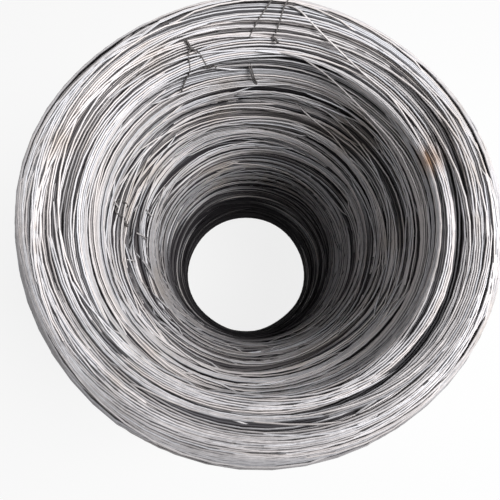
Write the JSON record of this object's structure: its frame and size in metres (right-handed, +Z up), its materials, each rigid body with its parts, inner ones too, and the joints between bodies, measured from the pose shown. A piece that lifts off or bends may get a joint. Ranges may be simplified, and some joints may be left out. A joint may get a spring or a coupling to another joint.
{
  "type": "coil of black annealed wire",
  "caption": "Upright bulk coil of black annealed steel wire, wound in bundles about an open bore and bound with wire ties, for feeding wire off a decoiler or for tying.",
  "frame": {"origin": "on the floor, at the middle of the foot, on the axis of the bore", "axes": "+Z up along the bore's axis; +Y towards the side of the rim that has the rim tie"},
  "size_m": [0.7194, 0.7192, 0.9031],
  "materials": {
    "annealed_wire": "annealed, dark oxide rubbed to grey",
    "tie_wire": "annealed, dark oxide"
  },
  "bodies": {
    "root": {"wire_coil": "annealed_wire", "rim_tie": "tie_wire", "ring_tie": "tie_wire", "ledge_tie": "tie_wire", "bore_tie": "tie_wire"}
  },
  "joints": []
}
